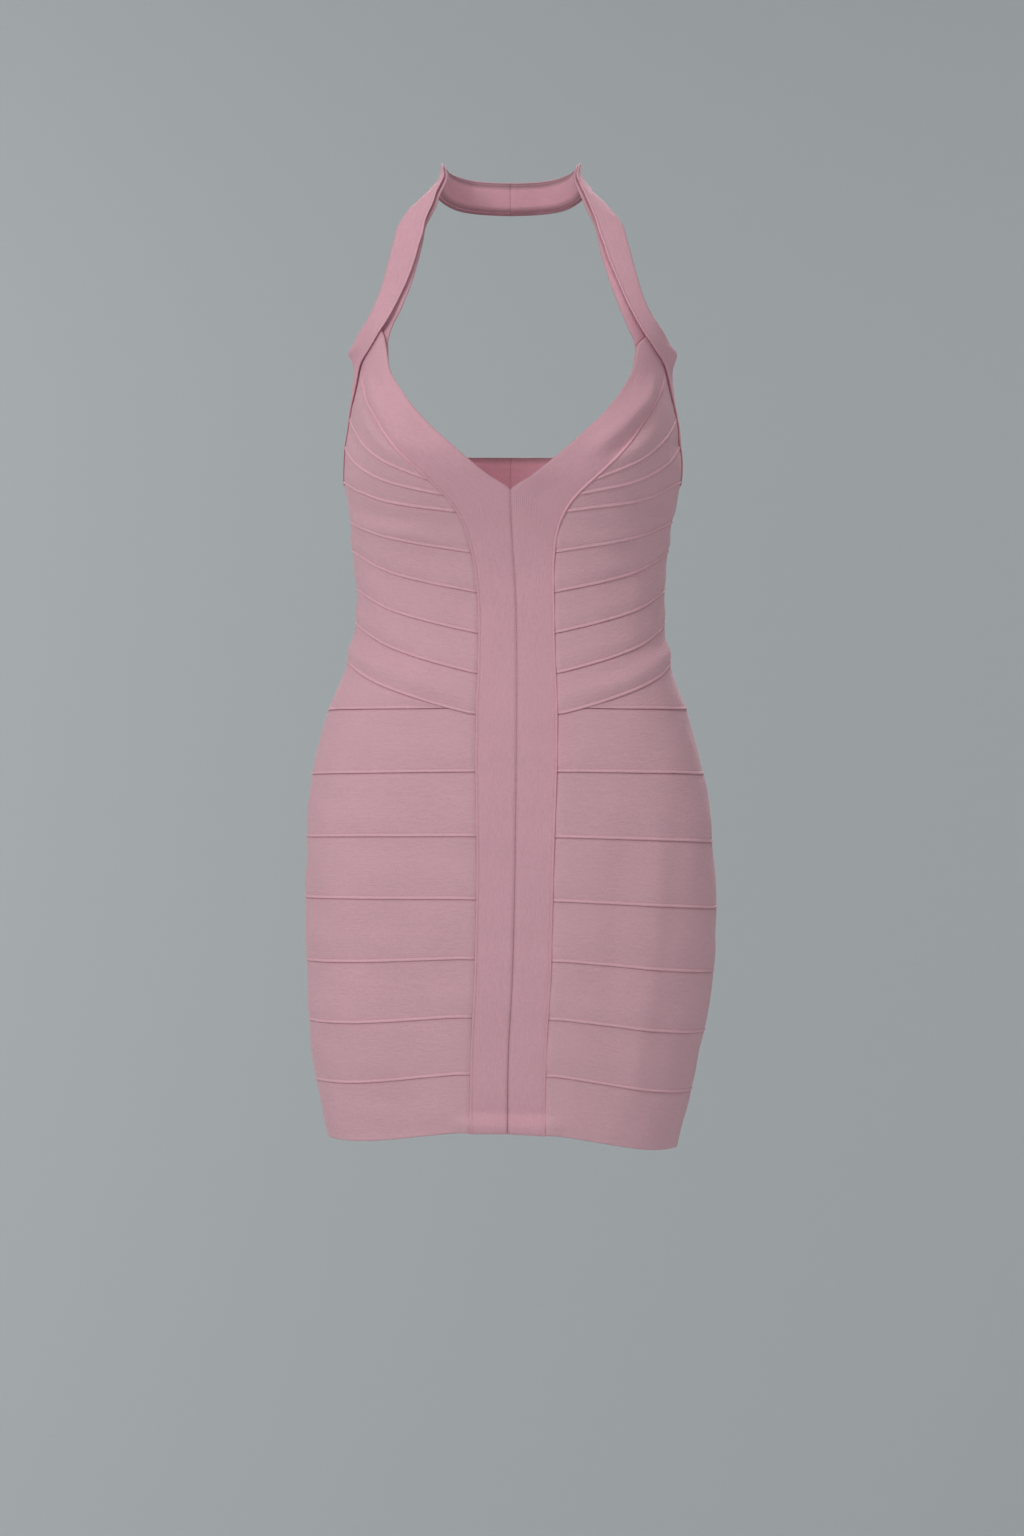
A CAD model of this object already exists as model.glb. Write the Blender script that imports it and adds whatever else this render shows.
"""The look of the bodycon halter dress of knitted bandage strips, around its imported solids.

Metres, +Z up, the front faces -Y. Left and right in names are the viewer's, facing the front.

Each solid gets a finer wall of cloth on the same form. The cloth lies on one smooth body. A place
on it is an angle in degrees, with 0 at the centre front, 90 at the viewer's right and 180 at the
centre back, and a height. Every function of the form takes arrays of them.
"""

import math
from functools import reduce

import bmesh
import bpy
import numpy as np
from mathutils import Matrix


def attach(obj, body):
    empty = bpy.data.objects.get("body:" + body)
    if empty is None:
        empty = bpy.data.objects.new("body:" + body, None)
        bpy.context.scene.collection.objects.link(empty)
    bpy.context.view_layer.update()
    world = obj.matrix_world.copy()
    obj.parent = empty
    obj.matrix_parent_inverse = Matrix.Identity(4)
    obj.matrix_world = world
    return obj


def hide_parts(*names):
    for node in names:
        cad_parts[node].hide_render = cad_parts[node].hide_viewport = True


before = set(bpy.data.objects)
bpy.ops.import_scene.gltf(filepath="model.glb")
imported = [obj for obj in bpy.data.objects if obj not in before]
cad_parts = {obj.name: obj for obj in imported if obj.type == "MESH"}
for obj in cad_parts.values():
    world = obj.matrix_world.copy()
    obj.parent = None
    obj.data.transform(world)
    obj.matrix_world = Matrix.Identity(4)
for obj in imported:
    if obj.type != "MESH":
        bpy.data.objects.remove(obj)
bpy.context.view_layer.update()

# ---------- the form, as the solids have it

WALL = 0.0016  # one layer of the knit
SEAM_GAP = 0.0003  # between two pieces that are sewn edge to edge
HALF_GAP = SEAM_GAP / 2
HALTER_REST = WALL + SEAM_GAP  # the halter band's lift where it lies over the neck band
ARMHOLE_LIFT = 0.0007  # and further on, where nothing lies under it
LIFT_EASES = (0.308, 0.360)  # it changes between these places along the halter band
HALTER_OVERLAP = 0.0005  # how far down it reaches over the top line of the strips below it

AXIS_Y = -0.062  # the upright line that angles are taken round
ROUNDNESS = 2.35  # 2 is an ellipse, more is squarer

BODY_SECTIONS = (
    # height, half width, front depth, back depth
    (0.030, 0.0550, 0.053, 0.0605),
    (0.018, 0.0550, 0.054, 0.0610),
    (0.000, 0.0635, 0.056, 0.0620),
    (-0.014, 0.0755, 0.058, 0.0640),
    (-0.030, 0.0970, 0.061, 0.0680),
    (-0.050, 0.1330, 0.065, 0.0740),
    (-0.075, 0.1450, 0.070, 0.0800),
    (-0.100, 0.1440, 0.075, 0.0850),
    (-0.130, 0.1345, 0.082, 0.0910),
    (-0.160, 0.1290, 0.089, 0.0950),
    (-0.195, 0.1335, 0.095, 0.0965),
    (-0.240, 0.1370, 0.098, 0.0940),
    (-0.275, 0.1300, 0.098, 0.0880),
    (-0.340, 0.1235, 0.099, 0.0730),
    (-0.390, 0.1300, 0.102, 0.0710),
    (-0.440, 0.1470, 0.106, 0.0790),
    (-0.500, 0.1605, 0.109, 0.0950),
    (-0.590, 0.1660, 0.108, 0.1090),
    (-0.670, 0.1625, 0.103, 0.1050),
    (-0.730, 0.1540, 0.098, 0.0980),
    (-0.800, 0.1440, 0.092, 0.0910),
)

CUP_DEPTH = 0.043
CUP_HEIGHT = -0.222
CUP_ANGLE = 34.0
CUP_SPREAD = 27.0  # degrees
CUP_RISE = 0.062
CUP_FALL = 0.048
CUP_FADES = (80.0, 110.0)

SIDE_DROP = 0.0045  # how much lower the skirt hangs at the viewer's right, and higher at the left
DROP_STARTS = -0.47
DROP_IS_FULL = -0.60

CENTRE_DRIFT = (
    # height, sideways shift
    (-0.785, -0.0026), (-0.705, -0.0018), (-0.640, 0.0015), (-0.530, 0.0038), (-0.360, 0.0045),
    (-0.270, 0.0000), (-0.200, 0.0000),
)

NECK_BAND_FRONT = (
    # inner x, inner height, outer x, outer height
    (HALF_GAP, -0.7655, 0.0290, -0.7665),
    (HALF_GAP, -0.6600, 0.0295, -0.6600),
    (HALF_GAP, -0.5400, 0.0300, -0.5400),
    (HALF_GAP, -0.4200, 0.0310, -0.4200),
    (HALF_GAP, -0.3500, 0.0295, -0.3570),
    (HALF_GAP, -0.3050, 0.0315, -0.3150),
    (HALF_GAP, -0.2790, 0.0365, -0.2900),
    (HALF_GAP, -0.2620, 0.0440, -0.2745),
    (0.0180, -0.2500, 0.0560, -0.2605),
    (0.0400, -0.2325, 0.0740, -0.2440),
    (0.0600, -0.2145, 0.0930, -0.2240),
    (0.0780, -0.1950, 0.1075, -0.2010),
    (0.0900, -0.1755, 0.1175, -0.1790),
    (0.0955, -0.1600, 0.1215, -0.1590),
    (0.0985, -0.1440, 0.1220, -0.1420),
    (0.0960, -0.1310, 0.1125, -0.1250),
    (0.0870, -0.1120, 0.1045, -0.1060),
    (0.0790, -0.0910, 0.0980, -0.0870),
    (0.0722, -0.0670, 0.0925, -0.0660),
    (0.0690, -0.0500, 0.0895, -0.0510),
    (0.0630, -0.0330, 0.0840, -0.0375),
    (0.0583, -0.0160, 0.0750, -0.0230),
    (0.0555, -0.0030, 0.0668, -0.0125),
)
NECK_BAND_NAPE = (
    # inner angle, inner height, outer angle, outer height
    (77.0, 0.0110, 83.0, -0.0080),
    (97.0, 0.0155, 100.0, -0.0045),
    (122.0, 0.0140, 123.0, -0.0070),
    (150.0, 0.0120, 150.0, -0.0105),
    (179.85, 0.0115, 179.85, -0.0120),
)
HALTER_NAPE = (
    # inner angle, inner height, outer angle, outer height
    (179.85, 0.0135, 179.85, -0.0140),
    (150.0, 0.0140, 150.0, -0.0125),
    (122.0, 0.0160, 124.0, -0.0085),
    (97.0, 0.0175, 101.0, -0.0060),
    (78.0, 0.0130, 85.0, -0.0095),
)
HALTER_CHEST = (
    # inner x, inner height, outer x, outer height
    (0.0560, -0.0010, 0.0690, -0.0130),
    (0.0590, -0.0150, 0.0780, -0.0240),
    (0.0640, -0.0320, 0.0880, -0.0390),
    (0.0695, -0.0480, 0.0940, -0.0530),
    (0.0748, -0.0640, 0.0973, -0.0680),
    (0.0815, -0.0835, 0.1020, -0.0880),
    (0.0900, -0.1050, 0.1075, -0.1065),
    (0.0975, -0.1220, 0.1145, -0.1205),
    (0.1040, -0.1340, 0.1235, -0.1285),
    (0.1120, -0.1445, 0.1290, -0.1375),
)
HALTER_SIDE = (
    # inner angle, inner height, outer angle, outer height
    (67.0, -0.1560, 80.5, -0.1460),
    (72.0, -0.1710, 84.0, -0.1590),
    (76.0, -0.1890, 89.0, -0.1750),
    (78.5, -0.2070, 95.0, -0.1890),
    (80.5, -0.2260, 101.0, -0.1985),
    (82.5, -0.2390, 107.0, -0.2050),
    (85.5, -0.2460, 111.5, -0.2080),
    (93.0, -0.2480, 117.0, -0.2105),
    (106.0, -0.2480, 125.0, -0.2125),
    (130.0, -0.2480, 140.0, -0.2135),
    (155.0, -0.2480, 157.0, -0.2135),
    (179.9, -0.2480, 179.9, -0.2135),
)
# The strips end at the neck band's outer edge and the halter band's inner one, at these heights.
SEAM_FROM_TO = (-0.800, -0.100)
ARMHOLE_FROM_TO = (-0.245, -0.100)

CUP_LINES = {
    # at the seam, at mid angle, at the halter band
    "cup_1": (-0.2540, -0.2365, -0.1970),
    "cup_2": (-0.2650, -0.2520, -0.2190),
}
CUP_MID_ANGLE = 45.0
CUP_TOP = -0.1575  # where the neck band and the halter band meet, and a little under them

RING_LINES = {
    # at the neck band, at 45 degrees, at the side, round the back
    "bust": (-0.2790, -0.2680, -0.2475, -0.2460),
    "bodice_1": (-0.3090, -0.2960, -0.2795, -0.2760),
    "bodice_2": (-0.3400, -0.3245, -0.3035, -0.3000),
    "bodice_3": (-0.3720, -0.3545, -0.3345, -0.3310),
    "bodice_4": (-0.4035, -0.3835, -0.3625, -0.3580),
    "waist": (-0.4355, -0.4135, -0.3935, -0.3890),
    "skirt_1": (-0.4808, -0.4820, -0.4830, -0.4830),
    "skirt_2": (-0.5317, -0.5337, -0.5357, -0.5360),
    "skirt_3": (-0.5815, -0.5845, -0.5870, -0.5875),
    "skirt_4": (-0.6285, -0.6350, -0.6380, -0.6390),
    "skirt_5": (-0.6745, -0.6835, -0.6865, -0.6880),
    "skirt_6": (-0.7195, -0.7310, -0.7345, -0.7360),
    "hem": (-0.7665, -0.7780, -0.7815, -0.7830),
}
RING_ANGLES = (11.0, 45.0, 80.0, 115.0, 180.0)
YOKE_LEVEL = -0.4312
YOKE_TIP = 18.6
TURNS_TO_SETTLE = 14  # a strip's ends depend on its heights, and these on its angles
ROUGH_SAMPLES = 200  # along a strip, to measure its length
SIDES = (("left", -1), ("right", 1))

# The worn cloth isn't quite even: how far its two sides lie to the right of the even form.
SIDE_SHIFTS = (
    # height, the left side, the right side
    (-0.790, -0.0008, -0.0134), (-0.764, -0.0020, -0.0110), (-0.744, -0.0032, -0.0074),
    (-0.704, -0.0038, -0.0056), (-0.664, -0.0012, -0.0022), (-0.624, 0.0000, -0.0006),
    (-0.584, 0.0000, 0.0000), (-0.544, -0.0010, -0.0014), (-0.504, -0.0024, -0.0012),
    (-0.464, -0.0034, -0.0032), (-0.424, -0.0034, -0.0032), (-0.383, -0.0012, -0.0026),
    (-0.343, -0.0010, -0.0004), (-0.303, -0.0010, 0.0000), (-0.263, 0.0016, 0.0006),
    (-0.223, 0.0028, 0.0008), (-0.183, 0.0032, 0.0008), (-0.143, 0.0018, 0.0006),
    (-0.103, 0.0004, -0.0004), (-0.050, 0.0004, -0.0012), (-0.034, 0.0006, -0.0028),
    (-0.026, 0.0032, -0.0040), (-0.018, 0.0034, -0.0044), (-0.010, 0.0056, -0.0060),
    (0.000, 0.0068, -0.0068), (0.010, 0.0040, -0.0040), (0.024, 0.0000, 0.0000),
)
SHIFT_GATHERS = 3  # 1 spreads a side's shift evenly towards the centre, more keeps it to the side

# ---------- the cloth's own relief

# Soft ridges and troughs in the worn cloth. Each runs along its path and fades towards both ends.
CREASES = (
    # lift, half width, path of angles and heights
    # the neck band over the cups: a ridge each, a trough towards the neckline, one towards the seam
    (0.0029, 0.0068, ((63, -0.158), (51, -0.186), (40, -0.205), (31, -0.220), (18, -0.240))),
    (-0.0022, 0.0050, ((64, -0.176), (54, -0.196), (44, -0.213), (35, -0.229), (26, -0.243))),
    (-0.0016, 0.0080, ((50, -0.160), (40, -0.182), (30, -0.200), (20, -0.216))),
    (0.0027, 0.0070, ((-64, -0.158), (-52, -0.187), (-42, -0.210), (-33, -0.227), (-21, -0.240))),
    (-0.0033, 0.0092, ((-48, -0.166), (-38, -0.187), (-28, -0.205), (-16, -0.226))),
    # the cups
    (0.0019, 0.0050, ((-61, -0.196), (-48, -0.219), (-39, -0.232), (-29, -0.242))),
    (0.0017, 0.0050, ((57, -0.206), (44, -0.227), (36, -0.235), (27, -0.244))),
    (0.0016, 0.0080, ((-84, -0.243), (-70, -0.247), (-55, -0.256))),
    (-0.0021, 0.0060, ((-77, -0.205), (-68, -0.214), (-59, -0.226))),
    (-0.0021, 0.0060, ((81, -0.211), (73, -0.219), (63, -0.230))),
    # under the cups
    (-0.0017, 0.0060, ((-90, -0.261), (-70, -0.272), (-50, -0.281), (-24, -0.287))),
    (-0.0016, 0.0055, ((20, -0.290), (38, -0.290), (58, -0.285), (80, -0.271))),
    (0.0016, 0.0070, ((-88, -0.272), (-60, -0.285), (-38, -0.293), (-10, -0.304))),
    (0.0016, 0.0070, ((11, -0.304), (38, -0.296), (64, -0.280), (90, -0.270))),
    (-0.0007, 0.0060, ((-70, -0.316), (-48, -0.327), (-22, -0.337))),
    (-0.0007, 0.0060, ((24, -0.336), (46, -0.328), (72, -0.313))),
    # the waist
    (0.0030, 0.0085, ((-98, -0.379), (-72, -0.387), (-43, -0.401), (-24, -0.414), (-4, -0.426))),
    (0.0028, 0.0085, ((6, -0.425), (27, -0.415), (48, -0.401), (70, -0.387), (96, -0.379))),
    (-0.0012, 0.0065, ((-84, -0.368), (-58, -0.380), (-30, -0.396))),
    (-0.0011, 0.0065, ((32, -0.396), (56, -0.381), (82, -0.368))),
    # the skirt
    (0.0015, 0.0120, ((43, -0.490), (40, -0.560), (38, -0.630), (37, -0.700), (40, -0.770))),
    (-0.0010, 0.0110, ((28, -0.490), (26, -0.560), (25, -0.630), (23, -0.720))),
    (-0.0007, 0.0150, ((-52, -0.480), (-47, -0.550), (-50, -0.640), (-55, -0.740))),
    (-0.0006, 0.0060, ((-62, -0.741), (-40, -0.745), (-18, -0.744))),
    (-0.0014, 0.0045, ((-14, -0.7510), (0, -0.7495), (14, -0.7510))),
    (0.0040, 0.0080, ((-16, -0.7605), (-5, -0.7600), (5, -0.7600), (16, -0.7610))),
    # the back, where the waist dips in
    (0.0024, 0.0090, ((112, -0.375), (135, -0.382), (158, -0.384), (177, -0.381))),
    (0.0022, 0.0085, ((-104, -0.372), (-128, -0.379), (-150, -0.383), (-178, -0.380))),
    (-0.0016, 0.0070, ((128, -0.345), (150, -0.349), (172, -0.346))),
    (-0.0015, 0.0070, ((-122, -0.343), (-146, -0.348), (-174, -0.347))),
    (0.0013, 0.0080, ((104, -0.262), (126, -0.266), (150, -0.262))),
    (-0.0012, 0.0070, ((-100, -0.266), (-124, -0.271), (-152, -0.267))),
    (-0.0011, 0.0120, ((168, -0.500), (173, -0.570), (177, -0.650))),
    (0.0012, 0.0130, ((140, -0.520), (137, -0.600), (141, -0.700))),
    (0.0011, 0.0130, ((-138, -0.530), (-141, -0.610), (-136, -0.700))),
)
ARC_PER_DEGREE = 0.00235  # metres round the body, for measuring a crease's width
CREASE_FADES = 0.28  # the share of a crease's length over which each end fades

# A slight unevenness all over, as sums of long waves.
WAVES = (
    # waves a turn round the body, waves a metre of height, start in degrees, lift
    (5, 9.0, 10, 0.00024),
    (9, -14.0, 70, 0.00018),
    (13, 21.0, 200, 0.00014),
    (3, 31.0, 300, 0.00014),
    (21, -7.0, 40, 0.00010),
)

# Where the halter band turns from strap to armhole, its outer half swells and its edge rolls in.
SWELL_LIFT = 0.0036
SWELL_PLACE = {"left": 0.298, "right": 0.301}  # along the halter band
SWELL_REACH = 0.0130
SWELL_SHARE = 0.70  # of the band's width, from its inner edge
SWELL_SPREAD = 0.26
ROLL_IN = 0.0016
ROLL_STARTS = 0.82
# Just past the swell it is drawn in towards the body.
PINCH = {"left": 0.0022, "right": 0.0006}
PINCH_PLACE = 0.318
PINCH_REACH = 0.012
PINCH_STARTS = (0.30, 0.75)  # across the band

# Before the turn its outer edge is drawn in, and so it is over the shoulder.
TURN_TRIM = 0.0048
TURN_PLACE = 0.281
TURN_REACH = 0.013
SHOULDER_TRIM = 1.5  # degrees
SHOULDER_PLACE = 0.174
SHOULDER_REACH = 0.014
HALTER_SHARES = {
    # distance along the halter band, where its inner and its outer edge lie as shares of its width
    "left": (
        (0.000, 0.0, 1.0), (0.175, 0.0, 1.0), (0.195, -0.04, 0.93), (0.240, -0.12, 0.91),
        (0.275, 0.0, 1.0),
    ),
    "right": (
        (0.000, 0.0, 1.0), (0.175, 0.0, 1.0), (0.195, 0.0, 0.93), (0.240, 0.0, 0.93),
        (0.275, 0.0, 1.0),
    ),
}

# At the turn the neck band is folded over: its stretch up the strap comes out from behind the rest,
# and both folds lie under the halter band. Each row gives a distance along the neck band, and where
# the edges of the stretch lie there, as shares of the band's width from the neckline.
CHEST_SHARES = {
    "left": (
        (0.000, 0.0, 1.0), (0.625, 0.0, 1.0), (0.648, 0.035, 1.0), (0.664, 0.04, 1.0),
        (0.676, 0.02, 1.0), (0.684, 0.01, 1.0), (0.690, 0.04, 1.0), (0.695, 0.10, 1.0),
        (0.700, 0.28, 1.0), (0.705, 0.55, 1.0),
    ),
    "right": (
        (0.000, 0.0, 1.0), (0.630, 0.0, 1.0), (0.652, 0.03, 1.0), (0.662, 0.03, 1.0),
        (0.674, 0.0, 1.0), (0.681, 0.0, 1.0), (0.686, 0.03, 1.0), (0.691, 0.17, 1.0),
        (0.696, 0.45, 1.0), (0.700, 0.60, 1.0),
    ),
}
STRAP_SHARES = {
    "left": (
        (0.655, 0.13, 0.28), (0.665, 0.12, 0.35), (0.675, 0.10, 0.48), (0.685, 0.055, 0.66),
        (0.692, 0.06, 0.80), (0.702, 0.075, 1.0), (0.711, 0.085, 1.0), (0.719, 0.04, 1.0),
        (0.727, 0.0, 1.0), (0.785, 0.0, 1.0), (0.810, 0.0, 0.93), (0.845, 0.0, 0.93),
        (0.880, 0.0, 0.97),
    ),
    "right": (
        (0.655, 0.12, 0.28), (0.665, 0.12, 0.35), (0.675, 0.09, 0.48), (0.683, 0.075, 0.62),
        (0.690, 0.05, 0.78), (0.696, 0.035, 0.90), (0.703, -0.01, 1.0), (0.709, -0.015, 1.0),
        (0.716, 0.0, 1.0), (0.785, 0.0, 1.0), (0.810, 0.0, 0.93), (0.845, 0.0, 0.93),
        (0.880, 0.0, 0.97),
    ),
}
FOLD_DROP = 0.0020  # how far the strap's stretch lies below the rest of the band at the fold
FOLD_ENDS = (0.706, 0.730)
# The neckline edge of that stretch sinks.
SINK = 0.0018
SINK_SHARES = (0.05, 0.55)  # across the band
SINK_ENDS = (0.790, 0.880)

# ---------- sections of the cloth

# An edge, as metres in from it and the cloth's lift there, from the outer face to the inner one.
PLAIN_EDGE = (
    (0.0030, 0.00160), (0.0017, 0.00152), (0.0009, 0.00134), (0.0003, 0.00106), (0.0000, 0.00065),
    (0.0002, 0.00015), (0.0009, 0.00000),
)
FOLDED_EDGE = (
    (0.0022, 0.00160), (0.0013, 0.00152), (0.0007, 0.00132), (0.0002, 0.00102), (0.0000, 0.00066),
    (0.0002, 0.00012), (0.0009, 0.00000),
)
BEAD_EDGE = (
    (0.0032, 0.00160), (0.0024, 0.00152), (0.0019, 0.00144), (0.0015, 0.00174), (0.0011, 0.00228),
    (0.0006, 0.00264), (0.0001, 0.00258), (-0.0003, 0.00232), (-0.0005, 0.00202),
    (-0.0004, 0.00176), (0.0000, 0.00140), (0.0001, 0.00050), (0.0008, 0.00000),
)
HEM_EDGE = (
    (0.0046, 0.00160), (0.0034, 0.00168), (0.0022, 0.00186), (0.0010, 0.00178), (0.0003, 0.00140),
    (0.0000, 0.00050), (0.0003, -0.00060), (0.0012, -0.00130), (0.0060, -0.00140),
    (0.0120, -0.00130), (0.0128, -0.00080), (0.0130, 0.00000),
)
BEAD_HEIGHT = 0.0010
BEAD_TOP_POINTS = 8  # of BEAD_EDGE, from the flat cloth over the top of the bead
LEAST_HEIGHT = 0.0090  # a strip that is lower than this has its section squeezed
END_ROUNDS = ((0.0, 0.30), (0.0003, 0.60), (0.0008, 0.85), (0.0018, 1.0))
TUCK_TURN = 1.1  # degrees by which a strip's end runs on under the neck band
HALTER_TUCK_TURN = 4.0  # and under the halter band
TUCK_CLEAR = 0.0002  # from there up to the band
TUCK_DEPTH = WALL + TUCK_CLEAR
TUCK_BEND = (-0.45, 0.35)  # it bends down between these angles, as degrees in under the band
BARE_FROM = (-0.1, 1.4)  # and its bead rises between these, as degrees out from the band
TIP_BEND = (0.2, 1.0)  # so it does at the yoke strip's tips, as degrees from the tip
TIP_BARE_FROM = (0.6, 2.4)
RING_BEAD = 0.72  # how far the beads below the cups rise, as a share of those on the cups
BODICE_CROWN = 0.0009  # how far a strip swells out between its lines
SKIRT_CROWN = 0.0005
SWELLS_LOW = 1.7  # a strip's crown: 1 puts its top halfway down, more puts it lower
STRIP_ROW = 0.0027
BAND_ROW = 0.0021
INNER_ROWS = 7
STRIP_COLUMN = 0.0030
BAND_COLUMN = 0.0021
NEARLY_BACK = 179.8  # a band that reaches this angle runs on to the next one, and their edges meet
CLOSED_ANGLE = 179.999
NEARLY_FRONT = 0.0002  # and so it is with the neck bands' edges this near the centre front
MEETING = 0.00001

# How much of a bead each band's edge has, by the distance along it.
NECK_BEAD = {
    "left": ((0.000, 0.25), (0.490, 0.25), (0.540, 1.00), (0.655, 1.00), (0.669, 0.0)),
    "right": ((0.000, 0.35), (0.190, 0.35), (0.240, 1.00), (0.655, 1.00), (0.669, 0.0)),
}
HALTER_BEAD = {
    "left": ((0.000, 0.10), (0.180, 0.15), (0.330, 0.15), (0.420, 0.30)),
    "right": ((0.000, 0.10), (0.090, 0.10), (0.180, 0.75), (0.330, 0.75), (0.420, 0.30)),
}

# Seam stitches lie across the neck band's outer edge.
STITCHES = {
    # pitch, length, width, first and last distance along the neck band
    "left": (0.0024, 0.0015, 0.00036, 0.004, 0.575),
    "right": (0.0016, 0.0016, 0.00040, 0.004, 0.500),
}
STITCH_INSET = 0.0014  # from the band's edge to the middle of a stitch
STITCH_LIFT = 0.00010  # of its middle line above the cloth, so that half of it stands clear
STITCH_SLANT = 0.22  # how far along the band it runs for each metre across
STITCH_BOW = 0.00016
STITCH_SIDES = 6
STITCH_RINGS = (
    # share of its length, share of its width
    (0.00, 0.25), (0.12, 0.75), (0.35, 1.00), (0.65, 1.00), (0.88, 0.75), (1.00, 0.25),
)

# ---------- curves


def smooth(knots, values, at):
    """The smooth curve through the values, each at its knot, read at many places."""
    knots = np.asarray(knots, float)
    values = np.asarray(values, float)
    last = len(knots) - 1
    before = np.maximum(np.arange(last + 1) - 1, 0)
    after = np.minimum(np.arange(last + 1) + 1, last)
    run = (knots[after] - knots[before]).reshape(-1, *[1] * (values.ndim - 1))
    slopes = (values[after] - values[before]) / run
    at = np.clip(np.asarray(at, float), knots[0], knots[-1])
    i = np.clip(np.searchsorted(knots, at, side="right") - 1, 0, last - 1)
    span = knots[i + 1] - knots[i]
    t = (at - knots[i]) / span
    if values.ndim > 1:
        t = t[..., None]
        span = span[..., None]
    return (
        (2 * t**3 - 3 * t**2 + 1) * values[i]
        + (t**3 - 2 * t**2 + t) * span * slopes[i]
        + (-2 * t**3 + 3 * t**2) * values[i + 1]
        + (t**3 - t**2) * span * slopes[i + 1]
    )


def columns_at(table, at):
    """The smooth columns of a table, read at many places in its first column."""
    table = np.array(table)
    return np.moveaxis(smooth(table[:, 0], table[:, 1:], at), -1, 0)


def table_at(table, place):
    """A table of two columns read at many places, with straight lines between its rows."""
    return np.interp(place, *np.array(table).T)


def distances_along(points):
    """Metres along a line of points, at each of them."""
    steps = np.linalg.norm(np.diff(points, axis=0), axis=1)
    return np.concatenate(([0.0], np.cumsum(steps)))


def ease(value, start, end):
    """0 before start, 1 after end, and soft between."""
    t = np.clip((value - start) / (end - start), 0.0, 1.0)
    return t * t * (3 - 2 * t)


def bell(offset, half_width):
    return np.exp(-((offset / half_width) ** 2))


def signed(angle):
    """An angle as -180 to 180."""
    return (np.asarray(angle, float) + 180.0) % 360.0 - 180.0


# ---------- the body


def cup(angle, height):
    """How far the cups push the cloth forward."""
    angle = signed(angle)
    across = sum(np.exp(-0.5 * ((angle - s * CUP_ANGLE) / CUP_SPREAD) ** 2) for s in (-1, 1))
    spread = np.where(height > CUP_HEIGHT, CUP_RISE, CUP_FALL)
    along = np.exp(-0.5 * ((height - CUP_HEIGHT) / spread) ** 2)
    return CUP_DEPTH * across * along * (1 - ease(np.abs(angle), *CUP_FADES))


def on_body(angle, height):
    """The points of the body at angles and heights."""
    angle, height = np.broadcast_arrays(angle, height)
    half_width, front, back = columns_at(BODY_SECTIONS[::-1], height)
    turn = np.radians(angle)
    power = 2 / ROUNDNESS
    side = np.sign(np.sin(turn)) * np.abs(np.sin(turn)) ** power
    ahead = np.sign(np.cos(turn)) * np.abs(np.cos(turn)) ** power
    depth = np.where(ahead > 0, front, back)
    y = AXIS_Y - depth * ahead - cup(angle, height)
    drift = columns_at(CENTRE_DRIFT, height)[0] * np.maximum(ahead, 0.0)
    left, right = columns_at(SIDE_SHIFTS, height)
    drift = drift + np.where(side < 0, left, right) * np.abs(side) ** SHIFT_GATHERS
    drop = SIDE_DROP * side * ease(-height, -DROP_STARTS, -DROP_IS_FULL)
    return np.stack((half_width * side + drift, y, height - drop), axis=-1)


def outward(angle, height):
    """The directions that point out of the body."""
    turn = 0.2  # degrees
    rise = 0.0005
    along = on_body(angle + turn, height) - on_body(angle - turn, height)
    up = on_body(angle, height + rise) - on_body(angle, height - rise)
    normal = np.cross(along, up)
    return normal / np.linalg.norm(normal, axis=-1, keepdims=True)


def angle_at(x, height):
    """The angle of the front of the body at a distance x from its centre line."""
    half_width = columns_at(BODY_SECTIONS[::-1], height)[0]
    share = np.minimum(np.abs(x) / half_width, 1.0) ** (ROUNDNESS / 2)
    return np.degrees(np.arcsin(share))


def crease(angle, height, lift, half_width, path):
    """One soft ridge or trough: its lift at many places."""
    path = np.array(path, float) * (ARC_PER_DEGREE, 1.0)
    before = distances_along(path)
    place = np.stack((signed(angle) * ARC_PER_DEGREE, height), axis=-1)
    nearest = np.full(place.shape[:-1], np.inf)
    along = np.zeros(place.shape[:-1])
    for start, end, step, so_far in zip(path, path[1:], np.diff(before), before):
        t = np.clip(((place - start) @ (end - start)) / step**2, 0.0, 1.0)
        gap = np.linalg.norm(place - start - t[..., None] * (end - start), axis=-1)
        closer = gap < nearest
        nearest = np.where(closer, gap, nearest)
        along = np.where(closer, so_far + t * step, along)
    share = along / before[-1]
    fade = ease(share, 0.0, CREASE_FADES) * (1 - ease(share, 1 - CREASE_FADES, 1.0))
    return lift * fade * bell(nearest, half_width)


def relief(angle, height):
    """How far the worn cloth stands off its smooth form, in or out."""
    lift = sum(crease(angle, height, *row) for row in CREASES)
    for turns, waves, start, depth in WAVES:
        phase = turns * angle + 360 * waves * height + start
        lift = lift + depth * np.sin(np.radians(phase))
    return lift


def on_cloth(angle, height, lift):
    """The points at a lift above the smooth form, with the cloth's relief."""
    angle, height = np.broadcast_arrays(angle, height)
    raised = lift + relief(angle, height)
    return on_body(angle, height) + outward(angle, height) * raised[..., None]


# ---------- bands and their edges


def front_stations(rows):
    """Rows that give widths from the centre line, with those widths turned into angles."""
    return [(angle_at(xi, zi), zi, angle_at(xo, zo), zo) for xi, zi, xo, zo in rows]


INNER = 0  # where a station has its inner edge, and its outer one
OUTER = 2


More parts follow.
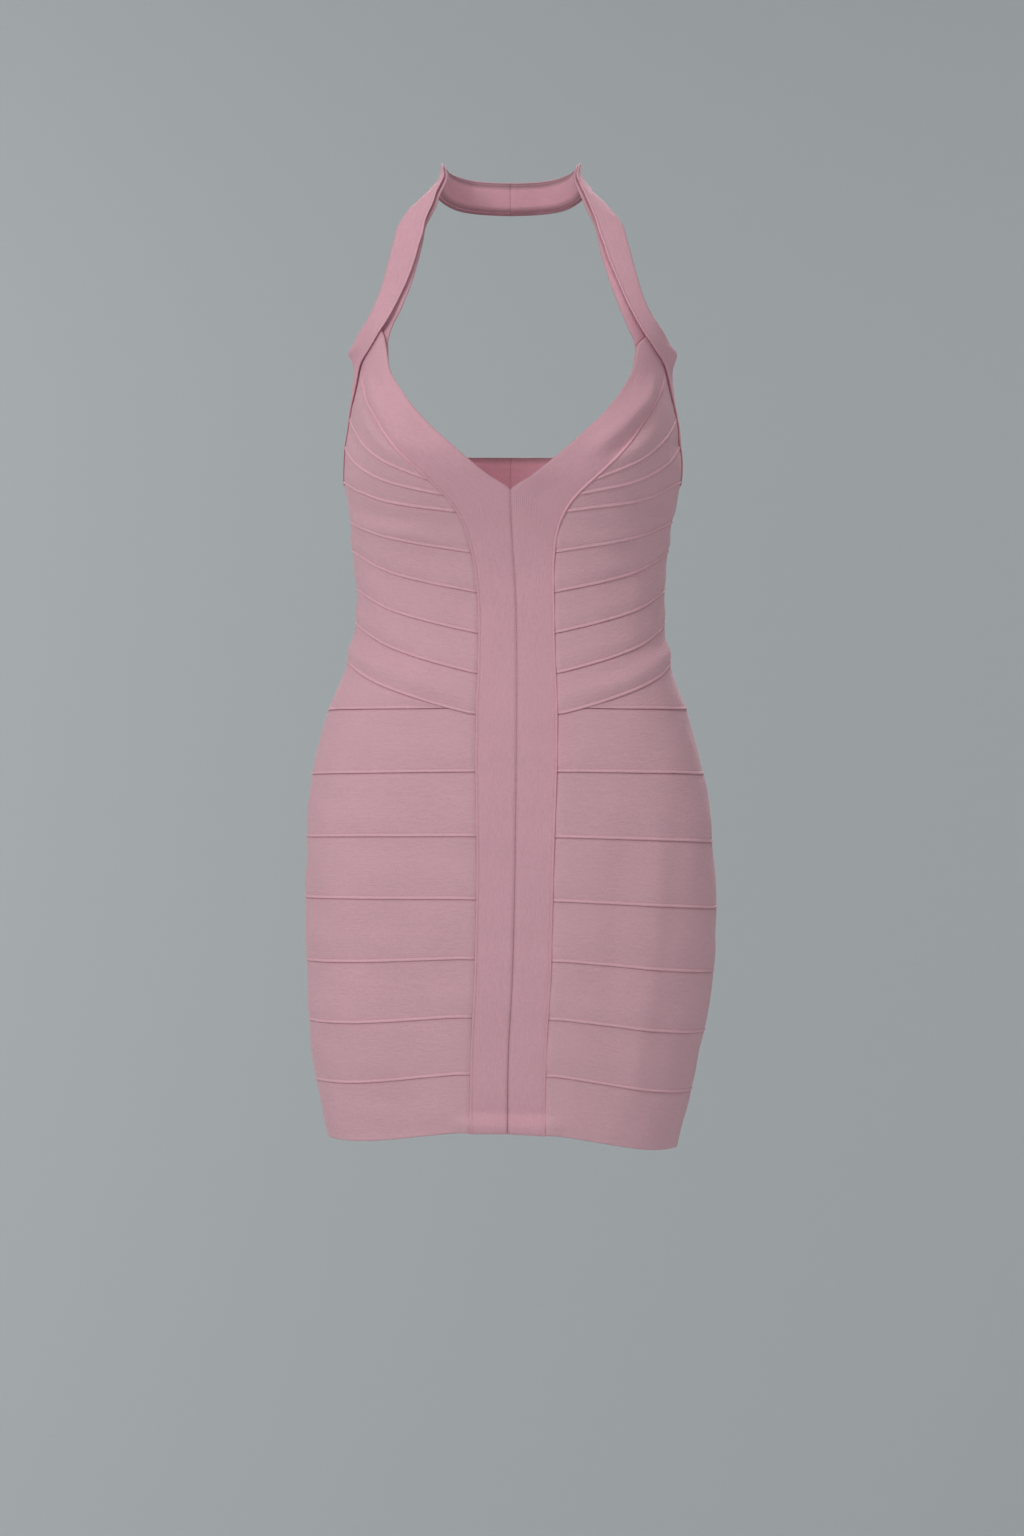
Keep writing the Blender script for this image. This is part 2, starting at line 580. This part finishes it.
class Band:
    """A knitted band between two edges, each a smooth curve of angle and height."""

    SAMPLES = 600
    FARTHEST_ANGLE = 92.0  # an edge is read on the front alone

    def __init__(self, stations):
        self.stations = np.array(stations)
        inner = on_body(self.stations[:, 0], self.stations[:, 1])
        outer = on_body(self.stations[:, 2], self.stations[:, 3])
        self.along = distances_along((inner + outer) / 2)
        self.length = self.along[-1]

    def at(self, distances):
        """Inner angle and height, outer angle and height, at distances along the band."""
        return smooth(self.along, self.stations, distances)

    def edge(self, which, lowest, highest, gives_distance=False):
        """One edge as a function that gives its angle, or distance along the band, at a height."""
        distances = np.linspace(0.0, self.length, self.SAMPLES + 1)
        samples = self.at(distances)
        angles = samples[:, which]
        heights = samples[:, which + 1]
        keep = (heights >= lowest) & (heights <= highest) & (angles < self.FARTHEST_ANGLE)
        order = np.argsort(heights[keep])
        known_heights = heights[keep][order]
        known_values = (distances if gives_distance else angles)[keep][order]
        return lambda height: np.interp(height, known_heights, known_values)


NECK_BAND = Band(front_stations(NECK_BAND_FRONT) + list(NECK_BAND_NAPE))
HALTER_BAND = Band(list(HALTER_NAPE) + front_stations(HALTER_CHEST) + list(HALTER_SIDE))

seam_angle = NECK_BAND.edge(OUTER, *SEAM_FROM_TO)
armhole_angle = HALTER_BAND.edge(INNER, *ARMHOLE_FROM_TO)


def from_front(angle):
    """Degrees from the centre front, either way round."""
    return np.minimum(angle, 360 - angle)


def ring_line(name):
    """The heights of a line that runs right round, as a function of angles."""
    heights = RING_LINES[name] + (RING_LINES[name][-1],)
    return lambda angle: smooth(RING_ANGLES, heights, from_front(angle))


def yoke_line(angle):
    """The skirt's first line: level, but never above the waist line that it runs into."""
    return np.minimum(ring_line("waist")(angle), YOKE_LEVEL)


def cup_line(name):
    """The heights of a line between two cup strips, as a function of angles."""
    at_seam, at_mid, at_halter = CUP_LINES[name]
    knots = (seam_angle(at_seam), CUP_MID_ANGLE, armhole_angle(at_halter))
    return lambda angle: smooth(knots, (at_seam, at_mid, at_halter), angle)


# ---------- meshes


def side_faces(rows, columns):
    """The faces round a tube whose points are in rows that run along it, without its ends."""
    faces = []
    for row in range(rows):
        here = row * columns
        after = (row + 1) % rows * columns
        faces += [(here + c, after + c, after + c + 1, here + c + 1) for c in range(columns - 1)]
    return faces


def moved_on(faces, first_point):
    """These faces on points that start later."""
    return [tuple(first_point + point for point in face) for face in faces]


def end_cap(first_face, rows, column, columns):
    """Triangles that close a section, between its outer face and its inner one."""
    outer = [r * columns + column for r in range(first_face)]
    inner = [r * columns + column for r in range(rows - 1, first_face - 1, -1)]
    faces = []
    i = 0
    j = 0
    while i < len(outer) - 1 or j < len(inner) - 1:
        on_outer = (i + 1) / len(outer) <= (j + 1) / len(inner)
        if j == len(inner) - 1 or (on_outer and i < len(outer) - 1):
            faces.append((outer[i], outer[i + 1], inner[j]))
            i += 1
        else:
            faces.append((outer[i], inner[j + 1], inner[j]))
            j += 1
    return faces


class Wall:
    """A closed wall of cloth. Rows of points run round its section and columns run along it.

    make_row gives for a row of the section its points, its knit and its trim. Knit is the metres
    along and across the knit. Trim is 1 on top of a bead and -1 where an edge turns in.
    """

    def __init__(self, section, make_row):
        points, knit, trim = zip(*[make_row(row) for row in section.rows])
        self.points = np.array(points)
        self.knit = np.array(knit)
        self.trim = np.array([values * np.ones(len(points[0])) for values in trim])
        self.first_inner_row = section.first_inner_row

    def faces(self, first_point):
        rows, columns = self.points.shape[:2]
        faces = side_faces(rows, columns)
        for column in (0, columns - 1):
            faces += end_cap(self.first_inner_row, rows, column, columns)
        return moved_on(faces, first_point)


def put_in_scene(name, data):
    thing = bpy.data.objects.new(name, data)
    bpy.context.scene.collection.objects.link(thing)
    return thing


def smooth_mesh(name, points, faces, material):
    mesh = bpy.data.meshes.new(name)
    mesh.from_pydata(points, [], faces)
    mesh.shade_smooth()
    mesh.materials.append(material)
    return mesh


def mesh_piece(name, points, faces, material):
    """A part of the dress with these faces, all turned outward."""
    mesh = smooth_mesh(name, points.reshape(-1, 3).tolist(), faces, material)
    work = bmesh.new()
    work.from_mesh(mesh)
    bmesh.ops.recalc_face_normals(work, faces=work.faces)
    work.to_mesh(mesh)
    work.free()
    piece = put_in_scene(name, mesh)
    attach(piece, "root")
    return piece


def cloth_piece(name, walls, material):
    """One piece of knitted cloth, made of one or more walls, in place of the node of that name.

    The sheet that it was cut from has the size of its kind. The extras ride with it.
    """
    faces = []
    first_point = 0
    for wall in walls:
        faces += wall.faces(first_point)
        first_point += wall.trim.size
    points = np.concatenate([wall.points.reshape(-1, 3) for wall in walls])
    piece = mesh_piece("cloth_" + name, points, faces, material)
    mesh = piece.data
    corners = np.empty(len(mesh.loops), dtype=np.int32)
    mesh.loops.foreach_get("vertex_index", corners)
    knit = np.concatenate([wall.knit.reshape(-1, 2) for wall in walls])
    mesh.uv_layers.new(name="knit").data.foreach_set("uv", knit[corners].ravel())
    trim = np.concatenate([wall.trim.ravel() for wall in walls])
    mesh.attributes.new("trim", "FLOAT", "POINT").data.foreach_set("value", trim)
    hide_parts(name)


def room_in(span):
    """The share of its full size that a section has where it is span wide."""
    return np.minimum(span / LEAST_HEIGHT, 1.0)


class Section:
    """The rows of a wall's section, from its first edge over the outer face, and back inside."""

    def __init__(self, first_edge, last_edge, widest, spacing):
        middle = max(int(widest / spacing), 2)
        self.start = first_edge[0][0]
        self.end = last_edge[0][0]
        self.rows = [("first", inset, lift) for inset, lift in reversed(first_edge)]
        self.rows += [("share", (k + 1) / (middle + 1), WALL) for k in range(middle)]
        self.rows += [("last", inset, lift) for inset, lift in last_edge]
        self.first_inner_row = len(self.rows)
        inner = [1 - (k + 1) / (INNER_ROWS + 1) for k in range(INNER_ROWS)]
        self.rows += [("share", share, 0.0) for share in inner]

    def place(self, row, span):
        """Metres from the first edge, across a section that is span wide."""
        kind, value, _ = row
        room = room_in(span)
        if kind == "first":
            return value * room
        if kind == "last":
            return span - value * room
        start = self.start * room
        return start + (span - self.end * room - start) * value


def lift_of(row, beads, squeeze):
    """The lift of one row: the wall, squeezed towards its middle, and the bead that is on it."""
    kind, _, lift = row
    bead = max(lift - WALL, 0.0) * beads.get(kind, 0.0)
    return WALL / 2 + (min(lift, WALL) - WALL / 2) * squeeze + bead


def trim_of(row, beads):
    """How much a row is on a bead, or is turned in."""
    kind, _, lift = row
    if kind == "share":
        return 0.0
    raised = max(lift - WALL, 0.0) / BEAD_HEIGHT * beads.get(kind, 0.0)
    return raised - (WALL - min(lift, WALL)) / WALL


def columns_along(length, spacing):
    """A wall's columns, close together at its ends, and how much of its thickness each has."""
    close = np.array([distance for distance, _ in END_ROUNDS])
    between = np.linspace(0.0, length, math.ceil(length / spacing) + 1)[1:-1]
    distance = np.concatenate((close, between, length - close[::-1]))
    return distance, table_at(END_ROUNDS, np.minimum(distance, length - distance))


def strip(top, bottom, ends, cover, side=1, edge=BEAD_EDGE, crown=0.0):
    """A strip of the dress as a wall of cloth, with a bead or a hem along its lower edge.

    Cover gives how deep the strip lies under the bands, and how much of its bead is bare.
    """
    first_angle, last_angle = ends

    def settled(across, place):
        """Angles, heights and spans for one row, as place gives metres down from the top line."""
        angle = np.full(across.shape, CUP_MID_ANGLE)
        for _ in range(TURNS_TO_SETTLE):
            upper = top(angle) - HALF_GAP
            span = upper - bottom(angle) - HALF_GAP
            height = upper - place(span)
            angle = first_angle(height) * (1 - across) + last_angle(height) * across
        return angle, height, span

    angle, height, span = settled(np.linspace(0.0, 1.0, ROUGH_SAMPLES), lambda span: span / 2)
    length = distances_along(on_body(angle, height))[-1]
    section = Section(PLAIN_EDGE, edge, span.max(), STRIP_ROW)
    distance, squeeze = columns_along(length, STRIP_COLUMN)

    def make_row(row):
        angle, height, span = settled(distance / length, lambda span: section.place(row, span))
        down = np.clip(section.place(row, span) / np.maximum(span, HALF_GAP), 0.0, 1.0)
        depth, bare = cover(angle, height)
        beads = {"last": bare * room_in(span)}
        swell = crown * np.sin(np.pi * down**SWELLS_LOW) ** 2 * room_in(span)
        points = on_cloth(side * angle, height, lift_of(row, beads, squeeze) + swell - depth)
        knit = np.stack((distances_along(on_body(angle, height)), down * span), axis=-1)
        return points, knit, trim_of(row, beads)

    return Wall(section, make_row)


def band_place(form, distance, share):
    """Angles and heights on a band, at distances along it and shares of its width."""
    inner_angle, inner_height, outer_angle, outer_height = np.moveaxis(form.at(distance), -1, 0)
    if form is HALTER_BAND:
        outer_angle = outer_angle - SHOULDER_TRIM * bell(distance - SHOULDER_PLACE, SHOULDER_REACH)
        outer_height = outer_height - TURN_TRIM * bell(distance - TURN_PLACE, TURN_REACH)
        inner_height = np.maximum(inner_height, ring_line("bust")(inner_angle) - HALTER_OVERLAP)
    at_centre = inner_angle < angle_at(NEARLY_FRONT, inner_height)
    inner_angle = np.where(at_centre, angle_at(MEETING, inner_height), inner_angle)
    inner_angle = np.where(inner_angle > NEARLY_BACK, CLOSED_ANGLE, inner_angle)
    outer_angle = np.where(outer_angle > NEARLY_BACK, CLOSED_ANGLE, outer_angle)
    angle = inner_angle + (outer_angle - inner_angle) * share
    height = inner_height + (outer_height - inner_height) * share
    return angle, height


def band_width(form, distance, first=0.0, last=1.0):
    """Metres from one share of a band's width to another, at distances along it."""
    start, end = (on_body(*band_place(form, distance, share)) for share in (first, last))
    return np.linalg.norm(end - start, axis=1)


def band_wall(form, side, reach, shares, edges, bead_tables, lift_at):
    """A stretch of a band, with as much of a bead on each edge as its table says."""
    distance, squeeze = columns_along(reach[1] - reach[0], BAND_COLUMN)
    distance = reach[0] + distance
    first, last = columns_at(shares, distance)
    width = band_width(form, distance, first, last)
    beads = {kind: table_at(table, distance) for kind, table in bead_tables.items()}
    section = Section(*edges, width.max(), BAND_ROW)

    def make_row(row):
        across = section.place(row, width)
        share = first + (last - first) * across / width
        angle, height = band_place(form, distance, share)
        lift = lift_of(row, beads, squeeze) + lift_at(distance, share)
        knit = np.stack((distance, across), axis=-1)
        return on_cloth(side * angle, height, lift), knit, trim_of(row, beads)

    return Wall(section, make_row)


def stitch_row(label, side, material):
    """The stitches over the neck band's outer edge, each a short thread that bows up a little."""
    pitch, length, width, first, last = STITCHES[label]
    distance = np.arange(first, last, pitch)
    whole_width = band_width(NECK_BAND, distance)
    bead = table_at(NECK_BEAD[label], distance)
    bead_top = BEAD_EDGE[:BEAD_TOP_POINTS][::-1]
    points = np.empty((len(distance), STITCH_SIDES, len(STITCH_RINGS), 3))
    for ring, (share, girth) in enumerate(STITCH_RINGS):
        inset = STITCH_INSET + length * (0.5 - share)
        along = distance + length * STITCH_SLANT * (share - 0.5)
        raised = (table_at(bead_top, inset) - WALL) * bead
        lift = WALL + raised + STITCH_LIFT + STITCH_BOW * math.sin(math.pi * share)
        radius = width / 2 * girth
        for k in range(STITCH_SIDES):
            turn = 2 * math.pi * k / STITCH_SIDES
            sideways = along + radius * math.cos(turn)
            angle, height = band_place(NECK_BAND, sideways, 1 - inset / whole_width)
            points[:, k, ring] = on_cloth(side * angle, height, lift + radius * math.sin(turn))
    columns = len(STITCH_RINGS)
    each = STITCH_SIDES * columns
    stitch = side_faces(STITCH_SIDES, columns)
    stitch += [tuple(range(ring, each, columns)) for ring in (0, columns - 1)]
    faces = []
    for number in range(len(distance)):
        faces += moved_on(stitch, number * each)
    return mesh_piece(f"seam_stitches_{label}", points, faces, material)


# ---------- materials

STRIP_COLOUR = (0.880, 0.510, 0.580)
BAND_COLOUR = (0.885, 0.490, 0.572)
THREAD_COLOUR = (0.900, 0.560, 0.620)
KNIT_ROUGHNESS = 0.82
THREAD_ROUGHNESS = 0.7
SPECULAR = 0.22
SHEEN = 0.20
SHEEN_ROUGHNESS = 0.45
SHEEN_TINT = (1.0, 0.84, 0.88, 1.0)

RIB = 0.0014  # metres from one rib of the knit to the next
COURSE = 0.0012  # and from one stitch to the next along a rib
RIB_WANDER = 0.0011  # how far a rib wanders sideways, in metres for a unit of its noise

# Noises: how many a metre along and across the knit, and their detail.
WANDER_NOISE = (35.0, 60.0, 1.0)
STREAK_NOISE = (120.0, 560.0, 2.0)
FLECK_NOISE = (620.0, 640.0, 1.0)
NOISE_RISE = 7.0  # how many a metre of height, so that two places on a band differ
CLOUDS = 24.0  # how many a metre of space
CLOUD_DETAIL = 2.0
FIBRES = 2200.0
FIBRE_DETAIL = 1.0

# How much each raises the surface, as a share of the bump, and how much it lightens the colour.
RIB_HEIGHT = 0.26
RIB_SHADE = 0.006
COURSE_HEIGHT = 0.14
STREAK_HEIGHT = 2.2
STREAK_SHADE = 0.12
FLECK_HEIGHT = 2.0
FLECK_SHADE = 0.14
CLOUD_SHADE = 0.07
FIBRE_SHADE = 0.35
BEAD_SHADE = 0.12
TURNED_IN_SHADE = 0.50
KNIT_BUMP = 0.00010  # metres
THREAD_BUMP = 0.00005

# On the right of the V the neck band's ribs stand out more.
RIBS_RISE = (0.480, 0.498)  # metres along the band
RIBS_FALL = (0.542, 0.520)
RIBS_ACROSS = (0.024, 0.016)  # metres from the neckline
RIBS_ON_RIGHT = (0.0, 0.003)  # metres from the centre line
SHOWN_HEIGHT = 0.8
SHOWN_SHADE = 0.030


class Nodes:
    """Short ways to make and join a material's nodes."""

    def __init__(self, name, roughness, specular=SPECULAR, sheen=SHEEN):
        self.material = bpy.data.materials.new(name)
        self.material.use_nodes = True
        self.tree = self.material.node_tree
        self.shader = self.tree.nodes["Principled BSDF"]
        settings = (
            ("Roughness", roughness),
            ("Specular IOR Level", specular),
            ("Sheen Weight", sheen),
            ("Sheen Roughness", SHEEN_ROUGHNESS),
            ("Sheen Tint", SHEEN_TINT),
        )
        for socket, value in settings:
            self.shader.inputs[socket].default_value = value

    def join(self, value, socket):
        if isinstance(value, (int, float, tuple)):
            socket.default_value = value
        else:
            self.tree.links.new(value, socket)

    def new(self, kind, *values, **settings):
        """A node with these settings, and these values or links in its first sockets."""
        node = self.tree.nodes.new("ShaderNode" + kind)
        for name, setting in settings.items():
            setattr(node, name, setting)
        for value, socket in zip(values, node.inputs):
            self.join(value, socket)
        return node

    def maths(self, operation, *values):
        return self.new("Math", *values, operation=operation).outputs[0]

    def product(self, *values):
        return reduce(lambda one, other: self.maths("MULTIPLY", one, other), values)

    def total(self, *values):
        return reduce(lambda one, other: self.maths("ADD", one, other), values)

    def total_of_products(self, *pairs):
        return self.total(*[self.product(*pair) for pair in pairs])

    def between(self, value, ends):
        """0 at the first end, 1 at the second, and soft between."""
        node = self.new("MapRange", value, *ends, interpolation_type="SMOOTHSTEP")
        return node.outputs["Result"]

    def noise(self, place, detail):
        """Soft noise around 0."""
        node = self.new("TexNoise", place)
        node.inputs["Scale"].default_value = 1.0
        node.inputs["Detail"].default_value = detail
        return self.maths("SUBTRACT", node.outputs["Fac"], 0.5)

    def where(self):
        return self.new("TexCoord").outputs["Object"]

    def scaled(self, vector, factor):
        node = self.new("VectorMath", vector, operation="SCALE")
        self.join(factor, node.inputs["Scale"])
        return node.outputs[0]

    def finish(self, colour, shade, height, bump_distance):
        self.join(self.scaled(colour, shade), self.shader.inputs["Base Color"])
        bump = self.new("Bump")
        bump.inputs["Strength"].default_value = 1.0
        bump.inputs["Distance"].default_value = bump_distance
        self.join(height, bump.inputs["Height"])
        self.join(bump.outputs[0], self.shader.inputs["Normal"])
        return self.material


def knit_material(name, colour, ribs_stand_out=False):
    """Fine ribs along a band, each a row of small stitches, in a soft and slightly uneven pink."""
    nodes = Nodes(name, KNIT_ROUGHNESS)
    knit = nodes.new("UVMap", uv_map="knit").outputs["UV"]
    along, across, _ = nodes.new("SeparateXYZ", knit).outputs
    x, _, z = nodes.new("SeparateXYZ", nodes.where()).outputs
    rise = nodes.product(z, NOISE_RISE)

    def noise(scale_along, scale_across, detail):
        scaled = (nodes.product(along, scale_along), nodes.product(across, scale_across), rise)
        return nodes.noise(nodes.new("CombineXYZ", *scaled).outputs[0], detail)

    def wave(value, length):
        return nodes.maths("SINE", nodes.product(value, 2 * math.pi / length))

    wander = nodes.product(noise(*WANDER_NOISE), RIB_WANDER)
    rib = wave(nodes.total(across, wander), RIB)
    streaks = noise(*STREAK_NOISE)
    flecks = noise(*FLECK_NOISE)
    clouds = nodes.noise(nodes.scaled(nodes.where(), CLOUDS), CLOUD_DETAIL)
    trim = nodes.new("Attribute", attribute_name="trim").outputs["Fac"]

    rib_height = RIB_HEIGHT
    rib_shade = RIB_SHADE
    if ribs_stand_out:
        shown = nodes.product(
            nodes.between(along, RIBS_RISE),
            nodes.between(along, RIBS_FALL),
            nodes.between(across, RIBS_ACROSS),
            nodes.between(x, RIBS_ON_RIGHT),
        )
        rib_height = nodes.total(nodes.product(shown, SHOWN_HEIGHT), RIB_HEIGHT)
        rib_shade = nodes.total(nodes.product(shown, SHOWN_SHADE), RIB_SHADE)

    height = nodes.total_of_products(
        (rib, rib_height),
        (wave(along, COURSE), COURSE_HEIGHT),
        (streaks, STREAK_HEIGHT),
        (flecks, FLECK_HEIGHT),
    )
    shade = nodes.total_of_products(
        (rib, rib_shade),
        (streaks, STREAK_SHADE),
        (flecks, FLECK_SHADE),
        (clouds, CLOUD_SHADE),
        (nodes.maths("MAXIMUM", trim, 0.0), BEAD_SHADE),
        (nodes.maths("MINIMUM", trim, 0.0), TURNED_IN_SHADE),
    )
    return nodes.finish(colour, nodes.total(shade, 1.0), height, KNIT_BUMP)


def thread_material(name, colour):
    """Twisted sewing thread."""
    nodes = Nodes(name, THREAD_ROUGHNESS)
    fibres = nodes.noise(nodes.scaled(nodes.where(), FIBRES), FIBRE_DETAIL)
    shade = nodes.total(nodes.product(fibres, FIBRE_SHADE), 1.0)
    return nodes.finish(colour, shade, fibres, THREAD_BUMP)


# ---------- the pieces


def on_the_body(distance, share):
    """The lift of a stretch that lies on the body as it is."""
    return 0.0


def behind_fold(distance, share):
    """The lift of the neck band's stretch up the strap: low at the fold and along the neckline."""
    drop = FOLD_DROP * (1 - ease(distance, *FOLD_ENDS))
    return -drop - SINK * (1 - ease(share, *SINK_SHARES)) * (1 - ease(distance, *SINK_ENDS))


def over_neck_band(label):
    """The lift of a halter band: clear of the neck band, then down to the body, with its swell."""

    def lift(distance, share):
        lowered = ease(distance, *LIFT_EASES)
        here = bell(distance - SWELL_PLACE[label], SWELL_REACH)
        swell = SWELL_LIFT * here * bell(share - SWELL_SHARE, SWELL_SPREAD)
        roll = ROLL_IN * here * ease(share, ROLL_STARTS, 1.0)
        past = bell(distance - PINCH_PLACE, PINCH_REACH)
        pinch = PINCH[label] * past * ease(share, *PINCH_STARTS)
        return HALTER_REST + (ARMHOLE_LIFT - HALTER_REST) * lowered + swell - roll - pinch

    return lift


def under_neck_band(height):
    """The angle at which a strip ends, a little in under the neck band."""
    return seam_angle(height) - TUCK_TURN


def always(value):
    """A function that gives the same value everywhere."""
    return lambda at: value + 0.0 * at


def round_the_back(starts):
    """The two ends of a strip that runs round the back, as functions of heights."""
    return starts, lambda height: 360 - starts(height)


def build_neck_band(label, side, knit, thread):
    chest = CHEST_SHARES[label]
    strap = STRAP_SHARES[label]
    stitches = stitch_row(label, side, thread)
    stretches = (
        ((0.0, chest[-1][0]), chest, on_the_body),
        ((strap[0][0], NECK_BAND.length), strap, behind_fold),
    )
    edges = (FOLDED_EDGE, BEAD_EDGE)
    beads = {"last": NECK_BEAD[label]}
    walls = [
        band_wall(NECK_BAND, side, reach, shares, edges, beads, lift)
        for reach, shares, lift in stretches
    ]
    cloth_piece(f"neck_band_{label}", walls, knit)


def build_halter_band(label, side, knit):
    reach = (0.0, HALTER_BAND.length)
    edges = (BEAD_EDGE, PLAIN_EDGE)
    beads = {"first": HALTER_BEAD[label]}
    lift = over_neck_band(label)
    wall = band_wall(HALTER_BAND, side, reach, HALTER_SHARES[label], edges, beads, lift)
    cloth_piece(f"halter_band_{label}", [wall], knit)


def build_cup_strips(label, side, knit):
    halter_lift = over_neck_band(label)
    armhole_place = HALTER_BAND.edge(INNER, *ARMHOLE_FROM_TO, gives_distance=True)

    def under_halter_band(height):
        return armhole_angle(height) + HALTER_TUCK_TURN

    def cover(angle, height):
        from_seam = angle - seam_angle(height)
        from_halter = armhole_angle(height) - angle
        halter_depth = np.maximum(TUCK_DEPTH - halter_lift(armhole_place(height), 0.0), 0.0)
        depth = np.maximum(
            TUCK_DEPTH * ease(-from_seam, *TUCK_BEND), halter_depth * ease(-from_halter, *TUCK_BEND)
        )
        return depth, ease(np.minimum(from_seam, from_halter), *BARE_FROM)

    ends = (under_neck_band, under_halter_band)
    lines = [always(CUP_TOP), cup_line("cup_1"), cup_line("cup_2"), ring_line("bust")]
    for number, (top, bottom) in enumerate(zip(lines, lines[1:]), start=1):
        kind = f"cup_strip_{number}"
        cloth_piece(f"{kind}_{label}", [strip(top, bottom, ends, cover, side)], knit)


def build_ring_strips(knit):
    """The strips that run from neck band to neck band round the back."""

    def cover(angle, height):
        from_seam = from_front(angle) - seam_angle(height)
        bead = RING_BEAD * ease(from_seam, *BARE_FROM)
        return TUCK_DEPTH * ease(-from_seam, *TUCK_BEND), bead

    def build(kind, lines, crown):
        for number, (top, bottom) in enumerate(zip(lines, lines[1:]), start=1):
            is_hem = kind == "skirt" and number == len(lines) - 1
            edge = HEM_EDGE if is_hem else BEAD_EDGE
            ends = round_the_back(under_neck_band)
            name = f"{kind}_strip_{number}"
            cloth_piece(name, [strip(top, bottom, ends, cover, 1, edge, crown)], knit)

    names = list(RING_LINES)
    below_waist = names.index("waist") + 1
    lines = [ring_line(name) for name in names]
    build("bodice", lines[:below_waist], BODICE_CROWN)
    build("skirt", [yoke_line] + lines[below_waist:], SKIRT_CROWN)


def build_yoke_strip(knit):
    """The strip at the waist that runs out to a tip at both ends."""

    def cover(angle, height):
        from_tip = from_front(angle) - YOKE_TIP
        bead = RING_BEAD * ease(from_tip, *TIP_BARE_FROM)
        return TUCK_DEPTH * (1 - ease(from_tip, *TIP_BEND)), bead

    wall = strip(ring_line("waist"), yoke_line, round_the_back(always(YOKE_TIP)), cover)
    cloth_piece("yoke_strip", [wall], knit)


# ---------- stage, light and camera

STAGE_FLOOR = -1.95
STAGE_HALF_WIDTH = 5.0
STAGE_FRONT = -4.0
COVE_STARTS = 1.0
COVE_RADIUS = 2.2
COVE_STEPS = 24
WALL_TOP = 3.0
STAGE_COLOUR = (0.668, 0.710, 0.722, 1.0)
STAGE_ROUGHNESS = 0.9
STAGE_SPECULAR = 0.1
CAMERA_PLACE = (0.001, -2.46, -0.478)
LENS = 68.6
ROOM_COLOUR = (0.94, 0.98, 1.0, 1.0)
ROOM_STRENGTH = 0.15

DRESS_MIDDLE = (0.0, -0.05, -0.42)
LIGHTS = (
    # name, place, aim, size, power, spread in degrees
    ("key", (-1.7, -2.5, 1.0), DRESS_MIDDLE, 1.4, 30.6, 180),
    ("low_fill", (1.6, -3.0, -0.9), DRESS_MIDDLE, 0.9, 13.6, 180),
    ("side", (-3.0, -0.8, -0.2), DRESS_MIDDLE, 1.4, 4.7, 180),
    ("top", (0.1, -0.9, 2.2), DRESS_MIDDLE, 1.6, 12.6, 180),
    ("back_fill", (0.3, 1.7, 1.4), DRESS_MIDDLE, 1.2, 4.5, 60),
    ("left_wash", (-2.9, 0.9, 0.4), (-0.6, 3.2, -0.4), 1.4, 24.1, 180),
    ("right_wash", (2.9, 0.9, 0.4), (0.6, 3.2, -0.4), 1.4, 11.4, 180),
)


def stage_material():
    nodes = Nodes("stage_grey", STAGE_ROUGHNESS, STAGE_SPECULAR, 0.0)
    nodes.shader.inputs["Base Color"].default_value = STAGE_COLOUR
    return nodes.material


def build_stage():
    """A floor that curves up into a wall, well behind and below the dress."""
    profile = [(STAGE_FRONT, STAGE_FLOOR)]
    for k in range(COVE_STEPS + 1):
        turn = math.pi / 2 * k / COVE_STEPS
        back = COVE_STARTS + COVE_RADIUS * math.sin(turn)
        up = STAGE_FLOOR + COVE_RADIUS * (1 - math.cos(turn))
        profile.append((back, up))
    profile.append((COVE_STARTS + COVE_RADIUS, WALL_TOP))
    points = [(x, y, z) for y, z in profile for x in (-STAGE_HALF_WIDTH, STAGE_HALF_WIDTH)]
    faces = [(2 * k, 2 * k + 1, 2 * k + 3, 2 * k + 2) for k in range(len(profile) - 1)]
    put_in_scene("stage", smooth_mesh("stage", points, faces, stage_material()))


def area_light(name, place, aim, size, power, spread):
    light = bpy.data.lights.new(name, "AREA")
    light.shape = "DISK"
    light.size = size
    light.energy = power
    light.spread = math.radians(spread)
    lamp = put_in_scene(name, light)
    lamp.visible_camera = False
    lamp.location = place
    direction = np.array(place) - np.array(aim)
    direction = direction / np.linalg.norm(direction)
    yaw = math.atan2(direction[0], -direction[1])
    lamp.rotation_euler = (math.acos(direction[2]), 0.0, yaw)


def build_light():
    world = bpy.data.worlds.new("soft_room")
    bpy.context.scene.world = world
    world.use_nodes = True
    background = world.node_tree.nodes["Background"]
    background.inputs["Color"].default_value = ROOM_COLOUR
    background.inputs["Strength"].default_value = ROOM_STRENGTH
    for row in LIGHTS:
        area_light(*row)


def build_camera():
    data = bpy.data.cameras.new("camera")
    data.lens = LENS
    camera = put_in_scene("camera", data)
    camera.location = CAMERA_PLACE
    camera.rotation_euler = (math.radians(90), 0.0, 0.0)
    bpy.context.scene.camera = camera


bpy.context.scene.view_settings.view_transform = "Standard"
strip_knit = knit_material("strip_knit", STRIP_COLOUR)
band_knit = knit_material("band_knit", BAND_COLOUR, ribs_stand_out=True)
seam_thread = thread_material("seam_thread", THREAD_COLOUR)
for side_label, side_sign in SIDES:
    build_neck_band(side_label, side_sign, band_knit, seam_thread)
    build_halter_band(side_label, side_sign, band_knit)
    build_cup_strips(side_label, side_sign, strip_knit)
build_ring_strips(strip_knit)
build_yoke_strip(strip_knit)
build_stage()
build_light()
build_camera()

bpy.context.view_layer.update()
